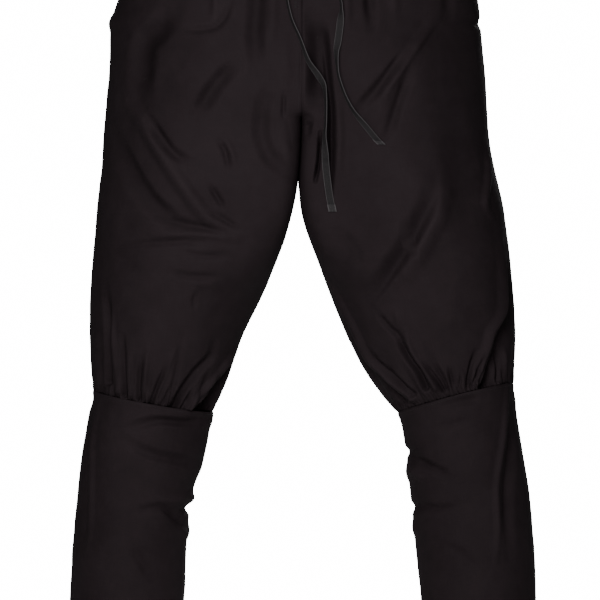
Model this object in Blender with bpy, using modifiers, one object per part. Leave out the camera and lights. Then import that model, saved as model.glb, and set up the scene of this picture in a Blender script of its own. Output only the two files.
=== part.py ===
"""Drawstring trousers: full thighs, gathered below the knee into close lower legs.

Metres, +Z up.  The origin is the middle of the waist opening, level with its top edge, and the
front faces -Y.  Right and left are the wearer's, so the right leg lies at -X.  The sizes below are
in millimetres.  A drop is measured down from the top edge of the waist, and a distance across is
measured out from the centre line of the body.
"""

import math
import random
from collections import namedtuple

import bmesh
import bpy
from mathutils import Vector
from mathutils.bvhtree import BVHTree

MM = 0.001
COLLECTION = "drawstring_trousers"
RIGHT, LEFT = -1, 1
FRONT, BACK = -1, 1
SIDE_NAMES = {RIGHT: "right", LEFT: "left"}
FACE_NAMES = {FRONT: "front", BACK: "back"}

CLOTH = 1.6              # wall of the leg cloth
CASING_CLOTH = 2.4       # the casing is folded double
SEAM = 0.3               # gap between two pieces at a seam
CASING_PROUD = 1.0       # the casing stands this far out of the panels
CASING_LEAN = 4.0        # how much narrower its top edge is
CASING_WAVE = 1.2
CASING_COLUMNS = 32
CASING_ROWS = 3

PANEL_COLUMNS = 24       # two for each gather of a panel
LOWER_COLUMNS = 12
INNER_CROWDING = 1.25    # columns stand closer near the crotch
CROWDED_DROPS = (100, 480)  # where that starts and ends, most of it halfway
KNEE_BLEND = (430, 600)  # drops between which the columns drift to the gathers' places
CROTCH_DROP = 292.5
FLAT_CENTRE = (3, 16)    # folds fade in between these distances from the centre line
FLAT_SIDE = (0.05, 0.6)  # and between these shares of the full depth, at the silhouette

TAPE_WIDTH = 8.4
TAPE_THICKNESS = 1.0
TAPE_STEP = 9.0
TAPE_LIFT = 0.6          # air between the tape and the cloth
HANG_SLOPE = 0.3         # most that a tape falls back as it hangs down
REST_SLOPE = 0.6         # most that it comes forward again
EXIT_WIDTH = 9.6         # gap in the casing's lower seam where the tape comes out
EXIT_HEIGHT = 10.0
EXIT_DEPTH = 20.0
IN_FRONT = 400           # a place well in front of the cloth

# Rings round the whole body.  drop_out is the drop at the silhouettes, right and left are the
# distances to them, front and back the depths, split how far the two legs have parted (0 is one
# oval, 1 two rings), power the roundness of the oval (2 is an ellipse) and rows the mesh rows
# down to the next ring.
BodyRing = namedtuple("BodyRing", "drop_in drop_out right left front back split power rows")
BODY = (
    BodyRing(36, 36, 183, 177, 112, 106, 0.00, 2.2, 2),
    BodyRing(80, 80, 205, 199, 125, 126, 0.00, 2.2, 2),
    BodyRing(140, 140, 229, 220, 136, 146, 0.00, 2.2, 1),
    BodyRing(165, 163, 239, 221.5, 139, 153, 0.02, 2.2, 1),
    BodyRing(200, 192, 240, 224, 140, 158, 0.15, 2.2, 1),
    BodyRing(232, 214, 239.5, 226.5, 139, 158, 0.42, 2.2, 1),
    BodyRing(260, 236, 241, 229, 136, 154, 0.68, 2.15, 1),
    BodyRing(280, 255, 242, 230, 132, 149, 0.90, 2.1, 1),
)

# Rings round one leg.  A ring leans with its leg, so its inner end drops lower than its outer
# end.  mid_in and mid_out are how far its two ends stand back, and dip is how much lower the
# front of it hangs.  The thighs pass each other at mid_in, where they touch.
LegRing = namedtuple(
    "LegRing", "drop_in drop_out inner outer front back mid_in mid_out power dip rows")
UPPER_LEG = {
    RIGHT: (
        LegRing(CROTCH_DROP, 270, 0.15, 243.5, 130, 145, 0, 0, 2.1, 0, 1),
        LegRing(310, 288, 0.3, 246, 126, 140, -4, 0, 2.1, 0, 1),
        LegRing(330, 309, 1.3, 247.3, 123, 134, -8, 0, 2.1, 0, 1),
        LegRing(352, 331, 3, 248.3, 120, 129, -10, 0, 2.1, 0, 1),
        LegRing(374, 353, 5.2, 250, 118, 125, -10, 0, 2.1, 0, 1),
        LegRing(415, 390, 14, 255, 114, 118, -8, 0, 2.1, 0, 2),
        LegRing(465, 438, 31.3, 258.7, 108, 110, -5, 0, 2.1, 0, 2),
        LegRing(515, 488, 51.3, 263.5, 101, 101, -2, 0, 2.1, 0, 2),
        LegRing(565, 538, 77.5, 265, 93, 93, 0, 0, 2.1, 1, 2),
        LegRing(602, 575, 88, 264.5, 87, 87, 2, 2, 2.1, 2, 2),
        LegRing(634, 607, 101, 262.5, 81, 82, 3, 3, 2.1, 3, 3),
        LegRing(654, 627.5, 112, 261, 73, 76, 4, 4, 2.1, 3, 0),
    ),
    LEFT: (
        LegRing(CROTCH_DROP, 270, 0.15, 230, 130, 145, 0, 0, 2.1, 0, 1),
        LegRing(310, 288, 0.1, 229.5, 126, 140, 4, 0, 2.1, 0, 1),
        LegRing(330, 309, -1.5, 232.5, 123, 134, 8, 0, 2.1, 0, 1),
        LegRing(352, 331, -3.2, 235.4, 120, 129, 10, 0, 2.1, 0, 1),
        LegRing(374, 353, -4.8, 240, 118, 125, 10, 0, 2.1, 0, 1),
        LegRing(415, 385, 0.2, 249, 114, 118, 8, 0, 2.1, 0, 2),
        LegRing(465, 432, 20, 255.4, 108, 110, 5, 0, 2.1, 0, 2),
        LegRing(515, 480, 37.5, 261.5, 101, 101, 3, 0, 2.1, 0, 2),
        LegRing(565, 528, 58.8, 265, 94, 93, 2, 0, 2.1, -1, 2),
        LegRing(602, 565, 77, 267, 87, 87, 3, 3, 2.1, -3, 2),
        LegRing(634, 597, 99, 265.5, 81, 82, 3, 3, 2.1, -5, 3),
        LegRing(655.6, 618.8, 120, 263.5, 73, 76, 4, 4, 2.1, -5, 0),
    ),
}
LOWER_LEG = {
    RIGHT: (
        LegRing(654, 627.5, 112, 261, 73, 76, 4, 4, 2.1, 3, 2),
        LegRing(690, 664, 117.5, 267.3, 72, 79, 5, 5, 2.1, 2, 2),
        LegRing(740, 715, 128.8, 276.3, 70, 80, 6, 6, 2.05, 0, 2),
        LegRing(790, 765, 143, 281.3, 67, 76, 7, 7, 2.05, 0, 1),
        LegRing(840, 815, 145, 286.3, 66, 71, 8, 8, 2, 0, 1),
        LegRing(889, 865, 147.5, 288.8, 64, 67, 8, 8, 2, 0, 1),
        LegRing(1000, 978, 155, 295, 60, 61, 8, 8, 2, 0, 0),
    ),
    LEFT: (
        LegRing(655.6, 618.8, 120, 263.5, 73, 76, 4, 4, 2.1, -5, 2),
        LegRing(690, 655, 129, 267.5, 72, 79, 5, 5, 2.1, -3, 2),
        LegRing(740, 706, 133.5, 275.7, 70, 80, 6, 6, 2.05, 0, 2),
        LegRing(790, 757, 138.8, 284, 67, 76, 7, 7, 2.05, 0, 1),
        LegRing(840, 808, 143.8, 289.3, 66, 71, 8, 8, 2, 0, 1),
        LegRing(889, 858, 148.8, 291.2, 64, 67, 8, 8, 2, 0, 1),
        LegRing(1000, 972, 156, 296, 60, 61, 8, 8, 2, 0, 0),
    ),
}

# Gathers above the knee seam, from the outer side seam to the inseam.  width is a gather's share
# of the half round in degrees, reach how far it runs up the leg and depth how deep it is.
Gather = namedtuple("Gather", "width reach depth")
KNEE_GATHERS = {
    (RIGHT, FRONT): (
        Gather(24, 62, 4.0), Gather(21, 112, 6.5), Gather(18, 76, 6.0), Gather(15, 58, 5.5),
        Gather(12, 44, 5.0), Gather(10, 38, 4.5), Gather(9, 98, 5.5), Gather(9, 36, 4.0),
        Gather(10, 42, 4.5), Gather(12, 60, 5.0), Gather(16, 66, 5.5), Gather(24, 84, 4.0),
    ),
    (LEFT, FRONT): (
        Gather(25, 60, 4.0), Gather(21, 48, 5.0), Gather(15, 40, 4.5), Gather(11, 52, 5.0),
        Gather(10, 34, 4.0), Gather(10, 38, 4.5), Gather(11, 90, 6.0), Gather(12, 44, 4.5),
        Gather(13, 62, 5.5), Gather(14, 78, 6.5), Gather(16, 64, 5.5), Gather(22, 84, 4.0),
    ),
    (RIGHT, BACK): (
        Gather(20, 70, 4.5), Gather(16, 54, 5.5), Gather(14, 96, 6.5), Gather(12, 46, 4.5),
        Gather(13, 62, 5.5), Gather(11, 40, 4.5), Gather(14, 104, 6.5), Gather(12, 50, 5.0),
        Gather(15, 72, 6.0), Gather(14, 46, 4.5), Gather(17, 90, 6.0), Gather(22, 64, 4.0),
    ),
    (LEFT, BACK): (
        Gather(22, 66, 4.5), Gather(15, 84, 6.0), Gather(12, 48, 5.0), Gather(14, 58, 5.5),
        Gather(11, 100, 6.0), Gather(13, 44, 4.5), Gather(12, 68, 5.5), Gather(15, 92, 6.5),
        Gather(13, 42, 4.5), Gather(16, 76, 6.0), Gather(15, 52, 5.0), Gather(22, 70, 4.0),
    ),
}
PINCH = 0.32             # share of a gather's depth that is left at its seam
FULL_AT = 0.24           # share of its reach where it is deepest
RIDGE = 0.45             # ridges stand this share of the depth out of the ring

WAIST_REACH = (50, 150)  # shortest and longest soft fold below the casing
WAIST_DEPTH = (1.8, 3.6)
WAIST_SEED = 11

# Large soft folds, as a line on the front or back of the body with a half width and a push, out
# of the body where it is positive.  x is measured to the wearer's left of the centre line.
Fold = namedtuple("Fold", "face x0 drop0 x1 drop1 width push")
FOLDS = (
    Fold(FRONT, -217, 265, -155, 364, 30, 6.0),
    Fold(FRONT, -155, 364, -76, 436, 30, 6.0),
    Fold(FRONT, -190, 293, -135, 345, 22, -6.0),
    Fold(FRONT, -107, 248, -136, 285, 26, -4.0),
    Fold(FRONT, -40, 250, -52, 301, 22, -6.0),
    Fold(FRONT, -52, 301, -14, 354, 20, -5.0),
    Fold(FRONT, -230, 442, -108, 446, 22, -4.0),
    Fold(FRONT, -62, 150, -50, 215, 24, -4.0),
    Fold(FRONT, 19, 240, 20, 350, 16, -8.0),
    Fold(FRONT, 33, 200, 40, 330, 19, -9.0),
    Fold(FRONT, 128, 205, 68, 276, 26, -6.0),
    Fold(FRONT, 168, 162, 104, 270, 26, 5.5),
    Fold(FRONT, 162, 392, 86, 515, 26, -6.5),
    Fold(FRONT, 186, 400, 110, 528, 24, 5.5),
    Fold(BACK, -190, 255, -60, 330, 28, -6.5),
    Fold(BACK, -205, 300, -70, 385, 26, 5.0),
    Fold(BACK, 182, 262, 64, 322, 28, -6.0),
    Fold(BACK, 200, 300, 80, 372, 26, 5.0),
    Fold(BACK, -232, 520, -100, 560, 24, -6.0),
    Fold(BACK, 236, 508, 92, 548, 24, -6.0),
    Fold(BACK, -150, 400, -186, 500, 26, 4.5),
    Fold(BACK, 150, 410, 190, 492, 26, 4.5),
    Fold(BACK, -26, 190, -34, 320, 16, -7.0),
    Fold(BACK, 28, 205, 36, 330, 16, -7.0),
    Fold(FRONT, -262, 700, -170, 684, 14, -3.0),
    Fold(FRONT, -214, 806, -146, 822, 13, -3.0),
    Fold(FRONT, 142, 722, 186, 738, 13, -3.0),
    Fold(BACK, -250, 720, -140, 760, 16, -3.5),
    Fold(BACK, 252, 730, 150, 776, 16, -3.5),
)

# The drawstring's free ends, from the gap in the casing down.  drop and x place the middle of
# the tape on the front, and turn twists it out of the cloth's face, in degrees.
TapePoint = namedtuple("TapePoint", "drop x turn")
TAPES = {
    RIGHT: (
        TapePoint(28, -25, 0), TapePoint(46, -25, 0), TapePoint(78, -23, 10),
        TapePoint(122, -20.5, 30), TapePoint(145, -18.8, 45), TapePoint(169, -13.8, 50),
        TapePoint(196, -2.5, 45), TapePoint(223, 7.5, 35), TapePoint(241, 20, 20),
        TapePoint(256, 27.5, 25), TapePoint(276, 29, 50), TapePoint(296, 28.8, 45),
        TapePoint(315, 27.5, 20), TapePoint(346, 28.8, 5), TapePoint(388, 33.8, 0),
        TapePoint(406, 37.5, 0),
    ),
    LEFT: (
        TapePoint(28, 26, 0), TapePoint(46, 26.5, 0), TapePoint(76, 32, 15),
        TapePoint(115, 39.5, 45), TapePoint(140, 45, 55), TapePoint(158, 49, 30),
        TapePoint(178, 47.5, 0), TapePoint(198, 44, 0), TapePoint(214, 41.8, 15),
        TapePoint(236, 42.5, 55), TapePoint(260, 49.5, 50), TapePoint(282, 61, 25),
        TapePoint(302, 77.5, 0), TapePoint(319, 92, 0), TapePoint(324, 97, 0),
    ),
}

CLOTH_COLOUR = (0.012, 0.011, 0.012, 1.0)
TAPE_COLOUR = (0.024, 0.023, 0.024, 1.0)


def clear_scene():
    for thing in list(bpy.data.objects):
        bpy.data.objects.remove(thing)


def new_collection(name):
    group = bpy.data.collections.new(name)
    bpy.context.scene.collection.children.link(group)
    return group


def matt_material(name, colour, roughness):
    """A dull Principled finish with no metal in it."""
    material = bpy.data.materials.new(name)
    material.use_nodes = True
    shader = material.node_tree.nodes["Principled BSDF"]
    shader.inputs["Base Color"].default_value = colour
    shader.inputs["Roughness"].default_value = roughness
    shader.inputs["Metallic"].default_value = 0.0
    return material


def smooth_step(low, high, value):
    share = min(max((value - low) / (high - low), 0.0), 1.0)
    return share * share * (3 - 2 * share)


def smooth_value(before, start, end, after, share):
    """Catmull-Rom between start and end."""
    square = share * share
    return 0.5 * (2 * start + (end - before) * share
                  + (2 * before - 5 * start + 4 * end - after) * square
                  + (3 * start - before - 3 * end + after) * square * share)


def between_rows(rows, place):
    """The row at a place counted in rows, on a smooth curve through every column."""
    index = min(int(place), len(rows) - 2)
    before = rows[max(index - 1, 0)]
    after = rows[min(index + 2, len(rows) - 1)]
    columns = zip(before, rows[index], rows[index + 1], after)
    return type(rows[0])(*[smooth_value(*column, place - index) for column in columns])


def body_leg_ring(ring, side):
    """One leg's half of a body ring.  Its inner end lies past the centre line."""
    outer = ring.right if side == RIGHT else ring.left
    inner = -outer * (1 - ring.split) / (1 + ring.split)
    return LegRing(ring.drop_in, ring.drop_out, inner, outer, ring.front, ring.back, 0, 0,
                   ring.power, 0, ring.rows)


def panel_rings(side):
    return [body_leg_ring(ring, side) for ring in BODY] + list(UPPER_LEG[side])


def row_places(rings):
    """Where the mesh rows lie, counted in rings."""
    places = [0.0]
    for index, ring in enumerate(rings[:-1]):
        places += [index + (step + 1) / ring.rows for step in range(ring.rows)]
    return places


def last_turn(ring):
    """The turn round the ring, from its outer end, where it meets the centre line or inseam."""
    centre = (ring.outer + ring.inner) / 2
    half = (ring.outer - ring.inner) / 2
    if ring.inner >= SEAM / 2 or centre >= half:
        return math.pi
    return math.pi - math.acos((max(centre, 0.0) / half) ** (ring.power / 2))


def fold_push(side, face, x, drop, facing):
    """How far the large folds move the cloth, fading at the silhouette and the centre seam."""
    push = 0.0
    for fold in FOLDS:
        if fold.face != face or fold.x0 * side < 0:
            continue
        along_x, along_drop = fold.x1 - fold.x0, fold.drop1 - fold.drop0
        reach = along_x ** 2 + along_drop ** 2
        share = ((x - fold.x0) * along_x + (drop - fold.drop0) * along_drop) / reach
        share = min(max(share, 0.0), 1.0)
        away = math.hypot(x - fold.x0 - share * along_x, drop - fold.drop0 - share * along_drop)
        if away < fold.width:
            push += fold.push * (1 - (away / fold.width) ** 2) ** 2
    return push * smooth_step(*FLAT_SIDE, facing) * smooth_step(*FLAT_CENTRE, abs(x))


def ring_point(ring, side, face, turn, push, inset):
    """A point on a ring in metres.  turn runs from the outer end at 0 to the inner end."""
    centre = (ring.outer + ring.inner) / 2
    half = (ring.outer - ring.inner) / 2
    depth = ring.front if face == FRONT else ring.back
    across = math.copysign(abs(math.cos(turn)) ** (2 / ring.power), math.cos(turn))
    deep = max(math.sin(turn), 0.0) ** (2 / ring.power)
    whole = ring.drop_in >= CROTCH_DROP
    start = ring.inner if whole else max(ring.inner, 0.0)
    lean = (ring.drop_out - ring.drop_in) / (ring.outer - start)
    out = centre + half * across
    push += fold_push(side, face, side * out, ring.drop_in + lean * (out - start), deep) - inset
    normal = Vector((math.copysign(abs(across) ** (ring.power - 1), across) / half,
                     face * deep ** (ring.power - 1) / depth)).normalized()
    out += push * normal.x
    if not whole:
        out = max(out, SEAM / 2)
    forward = max(depth * deep + face * push * normal.y, SEAM / 2)
    drop = ring.drop_in + lean * (out - start) - face * ring.dip * deep
    mid = ring.mid_out + (ring.mid_in - ring.mid_out) * (1 - across) / 2
    return Vector((side * out, mid + face * forward, -drop)) * MM


def gather_columns(gathers):
    """The turn of each ridge and trough at the gathered seam, outer end first."""
    turns = [0.0]
    for gather in gathers:
        turns += [turns[-1] + gather.width / 2, turns[-1] + gather.width]
    return [math.radians(turn) for turn in turns]


def gather_shape(rise, reach):
    """A gather's share of its depth: pinched at the seam, full just above it, then fading."""
    share = rise / reach
    if share >= 1:
        return 0.0
    swell = PINCH + (1 - PINCH) * smooth_step(0, FULL_AT, share)
    return swell * (1 - smooth_step(FULL_AT, 1, share))


def gather_push(gathers, column, rise):
    """The troughs lie on the odd columns, and a ridge is shared by two gathers."""
    if column in (0, 2 * len(gathers)):
        return 0.0
    index = column // 2
    if column % 2:
        return -gathers[index].depth * gather_shape(rise, gathers[index].reach)
    pair = gathers[index - 1:index + 1]
    return RIDGE * sum(one.depth * gather_shape(rise, one.reach) for one in pair) / 2


def waist_gathers(side, face):
    """Soft folds below the casing, uneven in reach and depth."""
    dice = random.Random(WAIST_SEED + 3 * side + face)
    return [Gather(1, dice.uniform(*WAIST_REACH), dice.uniform(*WAIST_DEPTH))
            for _ in range(PANEL_COLUMNS // 2)]


def add_piece(name, mesh, material, group):
    mesh.materials.append(material)
    piece = bpy.data.objects.new(name, mesh)
    group.objects.link(piece)
    return piece


def shell(name, columns, rows, place, wall, material, group):
    """A sheet of cloth.  place(column, row, inset) gives its points, inset into the wall."""
    mesh = bpy.data.meshes.new(name)
    cloth = bmesh.new()
    for inset in (0.0, wall):
        sheet = bmesh.ops.create_grid(cloth, x_segments=columns, y_segments=rows, size=0.5)
        for vertex in sheet["verts"]:
            column = round((vertex.co.x + 0.5) * columns)
            row = round((vertex.co.y + 0.5) * rows)
            vertex.co = place(column, row, inset)
    edges = [edge for edge in cloth.edges if edge.is_boundary]
    bmesh.ops.bridge_loops(cloth, edges=edges)
    bmesh.ops.recalc_face_normals(cloth, faces=cloth.faces[:])
    cloth.to_mesh(mesh)
    cloth.free()
    mesh.shade_smooth()
    return add_piece(name, mesh, material, group)


def upper_panel(side, face, material, group):
    """The front or back of one thigh, from the waist seam down to the gathered knee seam."""
    rings = panel_rings(side)
    places = row_places(rings)
    gathers = KNEE_GATHERS[side, face]
    knee_turns = gather_columns(gathers)
    folds = waist_gathers(side, face)
    knee_drop = rings[-1].drop_in

    def place(column, row, inset):
        ring = between_rows(rings, places[row])
        share = column / PANEL_COLUMNS
        crowded = 1 - (1 - share) ** INNER_CROWDING
        crowding = 1 - abs(smooth_step(*CROWDED_DROPS, ring.drop_in) * 2 - 1)
        share += (crowded - share) * crowding
        knee = smooth_step(*KNEE_BLEND, ring.drop_in)
        turn = last_turn(ring) * share * (1 - knee) + knee_turns[column] * knee
        push = gather_push(gathers, column, knee_drop - ring.drop_in)
        push += gather_push(folds, column, ring.drop_in - BODY[0].drop_in)
        point = ring_point(ring, side, face, turn, push, inset)
        if row == len(places) - 1:
            point.z += SEAM / 2 * MM
        if row == 0:
            point.z -= SEAM / 2 * MM
        return point

    name = f"{FACE_NAMES[face]}_panel_{SIDE_NAMES[side]}"
    return shell(name, PANEL_COLUMNS, len(places) - 1, place, CLOTH, material, group)


def lower_panel(side, face, material, group):
    """The front or back of one lower leg, from the gathered seam to the hem."""
    rings = LOWER_LEG[side]
    places = row_places(rings)

    def place(column, row, inset):
        ring = between_rows(rings, places[row])
        turn = math.pi * column / LOWER_COLUMNS
        point = ring_point(ring, side, face, turn, 0.0, inset)
        if row == 0:
            point.z -= SEAM / 2 * MM
        return point

    name = f"lower_{FACE_NAMES[face]}_{SIDE_NAMES[side]}"
    return shell(name, LOWER_COLUMNS, len(places) - 1, place, CLOTH, material, group)


def casing_half(face, material, group):
    """Half of the waist casing, from side seam to side seam, ruffled by its drawstring."""
    ring = BODY[0]
    depth = ring.front if face == FRONT else ring.back
    height = ring.drop_in - SEAM / 2

    def place(column, row, inset):
        turn = math.pi * column / CASING_COLUMNS
        side = RIGHT if column * 2 < CASING_COLUMNS else LEFT
        half = ring.right if side == RIGHT else ring.left
        share = row / CASING_ROWS
        swell = CASING_PROUD - CASING_LEAN * share - inset
        if column % 2 and 0 < row < CASING_ROWS:
            swell -= CASING_WAVE
        x = side * abs(math.cos(turn)) ** (2 / ring.power) * (half + swell)
        y = max(math.sin(turn), 0.0) ** (2 / ring.power) * (depth + swell)
        return Vector((x, face * max(y, SEAM / 2), -height * (1 - share))) * MM

    name = f"waist_casing_{FACE_NAMES[face]}"
    return shell(name, CASING_COLUMNS, CASING_ROWS, place, CASING_CLOTH, material, group)


def cut_exit(casing, x, cutters):
    """A gap in the casing's lower seam, where one end of the drawstring comes out."""
    bpy.ops.mesh.primitive_cube_add(size=1)
    cutter = bpy.context.object
    cutter.name = f"exit_cutter_{'left' if x > 0 else 'right'}"
    cutter.scale = Vector((EXIT_WIDTH, EXIT_DEPTH, 2 * EXIT_HEIGHT)) * MM
    cutter.location = Vector((x, -BODY[0].front, -BODY[0].drop_in)) * MM
    cutter.hide_render = True
    cutter.display_type = "WIRE"
    for group in cutter.users_collection:
        group.objects.unlink(cutter)
    cutters.objects.link(cutter)
    cut = casing.modifiers.new("exit", "BOOLEAN")
    cut.operation = "DIFFERENCE"
    cut.solver = "EXACT"
    cut.object = cutter


def front_surface(panels):
    """The outer faces of the front panels, to lay the tapes on."""
    points, faces = [], []
    for panel in panels:
        start = len(points)
        points += [vertex.co.copy() for vertex in panel.data.vertices]
        faces += [[start + corner for corner in face.vertices] for face in panel.data.polygons]
    return BVHTree.FromPolygons(points, faces)


def cloth_depth(surface, x, drop):
    """How far forward the cloth stands at a point of the front, in millimetres."""
    eye = Vector((x, -IN_FRONT, -drop)) * MM
    hit = surface.ray_cast(eye, Vector((0, 1, 0)))[0]
    return hit.y / MM if hit else None


def ease_back(depths, slope):
    """Keeps a tape from falling back towards the cloth faster than it would hang."""
    for index in range(1, len(depths)):
        depths[index] = min(depths[index], depths[index - 1] + slope * TAPE_STEP)


def tape_lines(side, surface):
    """The tape's middle line and its across direction, hung just clear of the cloth."""
    rows = TAPES[side]
    count = round((rows[-1].drop - rows[0].drop) / TAPE_STEP)
    spots = [between_rows(rows, (len(rows) - 1) * step / count) for step in range(count + 1)]
    reach = TAPE_WIDTH / 2
    stands = []
    for spot in spots:
        nearest = min(cloth_depth(surface, spot.x + shift, max(spot.drop + fall, BODY[0].drop_in + 1))
                      for shift in (-reach, -reach / 2, 0, reach / 2, reach)
                      for fall in (-TAPE_STEP / 2, 0, TAPE_STEP / 2))
        lift = reach * abs(math.sin(math.radians(spot.turn)))
        stands.append(nearest - lift - TAPE_LIFT - TAPE_THICKNESS / 2)
    ease_back(stands, HANG_SLOPE)
    stands.reverse()
    ease_back(stands, REST_SLOPE)
    stands.reverse()
    inside = -BODY[0].front - CASING_PROUD + CASING_CLOTH / 2
    lines = []
    for spot, stand in zip(spots, stands):
        out = smooth_step(rows[0].drop, BODY[0].drop_in, spot.drop)
        turn = math.radians(spot.turn)
        across = Vector((math.cos(turn), -math.sin(turn), 0))
        lines.append((Vector((spot.x, inside + (stand - inside) * out, -spot.drop)), across))
    return lines


def tape(side, surface, material, group):
    """One free end of the drawstring, a flat woven tape."""
    lines = tape_lines(side, surface)
    name = f"drawstring_end_{SIDE_NAMES[side]}"
    mesh = bpy.data.meshes.new(name)
    strip = bmesh.new()
    bmesh.ops.create_grid(strip, x_segments=1, y_segments=len(lines) - 1, size=0.5)
    for vertex in strip.verts:
        middle, across = lines[round((vertex.co.y + 0.5) * (len(lines) - 1))]
        vertex.co = (middle + across * TAPE_WIDTH * vertex.co.x) * MM
    strip.to_mesh(mesh)
    strip.free()
    piece = add_piece(name, mesh, material, group)
    wall = piece.modifiers.new("tape", "SOLIDIFY")
    wall.thickness = TAPE_THICKNESS * MM
    wall.offset = 0
    return piece


def main():
    clear_scene()
    group = new_collection(COLLECTION)
    cutters = new_collection("cutters")
    cloth = matt_material("black_cloth", CLOTH_COLOUR, 0.9)
    webbing = matt_material("black_tape", TAPE_COLOUR, 0.75)
    fronts = []
    for side in (RIGHT, LEFT):
        for face in (FRONT, BACK):
            panel = upper_panel(side, face, cloth, group)
            lower_panel(side, face, cloth, group)
            if face == FRONT:
                fronts.append(panel)
    casing_half(BACK, cloth, group)
    casing = casing_half(FRONT, cloth, group)
    surface = front_surface(fronts)
    for side in (RIGHT, LEFT):
        cut_exit(casing, TAPES[side][0].x, cutters)
        tape(side, surface, webbing, group)


main()
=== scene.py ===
import math
import random
from collections import namedtuple

import bmesh
import bpy
import numpy as np
from mathutils import Matrix, Vector, noise
from mathutils.bvhtree import BVHTree


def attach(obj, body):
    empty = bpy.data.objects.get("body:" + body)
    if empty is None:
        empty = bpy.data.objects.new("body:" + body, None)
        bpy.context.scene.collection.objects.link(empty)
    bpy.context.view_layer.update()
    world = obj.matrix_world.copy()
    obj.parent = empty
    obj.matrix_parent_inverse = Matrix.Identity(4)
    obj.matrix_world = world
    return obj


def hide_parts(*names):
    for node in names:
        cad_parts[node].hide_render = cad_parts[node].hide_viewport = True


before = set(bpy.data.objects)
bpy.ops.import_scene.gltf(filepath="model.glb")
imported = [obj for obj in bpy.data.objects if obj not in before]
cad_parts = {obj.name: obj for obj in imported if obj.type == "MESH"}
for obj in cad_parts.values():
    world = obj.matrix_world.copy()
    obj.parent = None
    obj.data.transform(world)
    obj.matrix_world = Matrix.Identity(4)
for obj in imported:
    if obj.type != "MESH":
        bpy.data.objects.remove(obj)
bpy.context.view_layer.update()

# Metres, +Z up, with the front towards -Y and the wearer's right leg at -X.  The tables are in
# millimetres: a drop is measured down from the top of the waist, x across from the centre line.
mm = 0.001
right, left = -1, 1
front, back = -1, 1
sideNames = {right: "right", left: "left"}
faceNames = {front: "front", back: "back"}

print("camera and light")
view = {
    "target": (-0.0025, 0.0, -0.515),
    "distance": 6.0,
    "frameWidth": 0.75,            # what the photograph takes in at the middle of the waist
    "floorDrop": 1.062,
    "floorNear": 0.9,              # the floor is plain out to here, then fades into the white
    "floorSize": 2.3,
    "surround": 20.0,
    "clipEnd": 60,
    "whiteness": 16.0,             # the white round the studio, which lights nothing
    "key": ((-0.2, -1.6, -0.15), 0.7, 23.0),
    "fill": ((1.6, -3.4, -0.2), 2.0, 5.0),
    "backs": ((0.5, 4.4, 1.9), 2.6, 260.0),
    "world": 0.09,
}


def addObject(name, data):
    thing = bpy.data.objects.new(name, data)
    bpy.context.scene.collection.objects.link(thing)
    return thing


def areaLight(name, place, size, power):
    lamp = bpy.data.lights.new(name, "AREA")
    lamp.shape = "DISK"
    lamp.size = size
    lamp.energy = power
    light = addObject(name, lamp)
    light.location = place
    light.visible_camera = False
    light.rotation_euler = (Vector(view["target"]) - Vector(place)).to_track_quat("-Z", "Y").to_euler()


camera = addObject("camera", bpy.data.cameras.new("camera"))
camera.data.lens = camera.data.sensor_width * view["distance"] / view["frameWidth"]
camera.data.clip_end = view["clipEnd"]
camera.location = Vector(view["target"]) - Vector((0, view["distance"], 0))
camera.rotation_euler = (math.pi / 2, 0, 0)
bpy.context.scene.camera = camera
for name in ("key", "fill", "backs"):
    areaLight(name, *view[name])
world = bpy.data.worlds.new("studio")
world.use_nodes = True
background = world.node_tree.nodes["Background"]
background.inputs["Color"].default_value = (1, 1, 1, 1)
background.inputs["Strength"].default_value = view["world"]
bpy.context.scene.world = world


# Shader maths: a socket that can stand in sums, and one way to make any node.
class Wire:
    def __init__(self, socket):
        self.socket = socket

    def maths(self, operation, first, second):
        tree = self.socket.id_data
        return shaderNode(tree, "ShaderNodeMath", {"operation": operation}, {0: first, 1: second})

    def __add__(self, other):
        return self.maths("ADD", self, other)

    def __radd__(self, other):
        return self.maths("ADD", other, self)

    def __sub__(self, other):
        return self.maths("SUBTRACT", self, other)

    def __rsub__(self, other):
        return self.maths("SUBTRACT", other, self)

    def __mul__(self, other):
        return self.maths("MULTIPLY", self, other)

    def __rmul__(self, other):
        return self.maths("MULTIPLY", other, self)

    def sine(self):
        return self.maths("SINE", self, 0.0)

    def clamped(self):
        return self.maths("MINIMUM", self.maths("MAXIMUM", self, 0.0), 1.0)

    def into(self, node, socket):
        self.socket.id_data.links.new(self.socket, node.inputs[socket])


def shaderNode(tree, kind, settings, values, output=0):
    node = tree.nodes.new(kind)
    for name, value in settings.items():
        setattr(node, name, value)
    for socket, value in values.items():
        if isinstance(value, Wire):
            tree.links.new(value.socket, node.inputs[socket])
        else:
            node.inputs[socket].default_value = value
    return Wire(node.outputs[output])


def smoothStep(low, high, value):
    share = np.clip((value - low) / (high - low), 0.0, 1.0)
    return share * share * (3 - 2 * share)


def within(drops, value):
    # rises over the first two drops and falls over the last two
    return smoothStep(drops[0], drops[1], value) * (1 - smoothStep(drops[2], drops[3], value))


def bell(value):
    return np.clip(1 - value * value, 0.0, None) ** 2


def table(kind, *rows):
    return [kind(*row) for row in rows]


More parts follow.
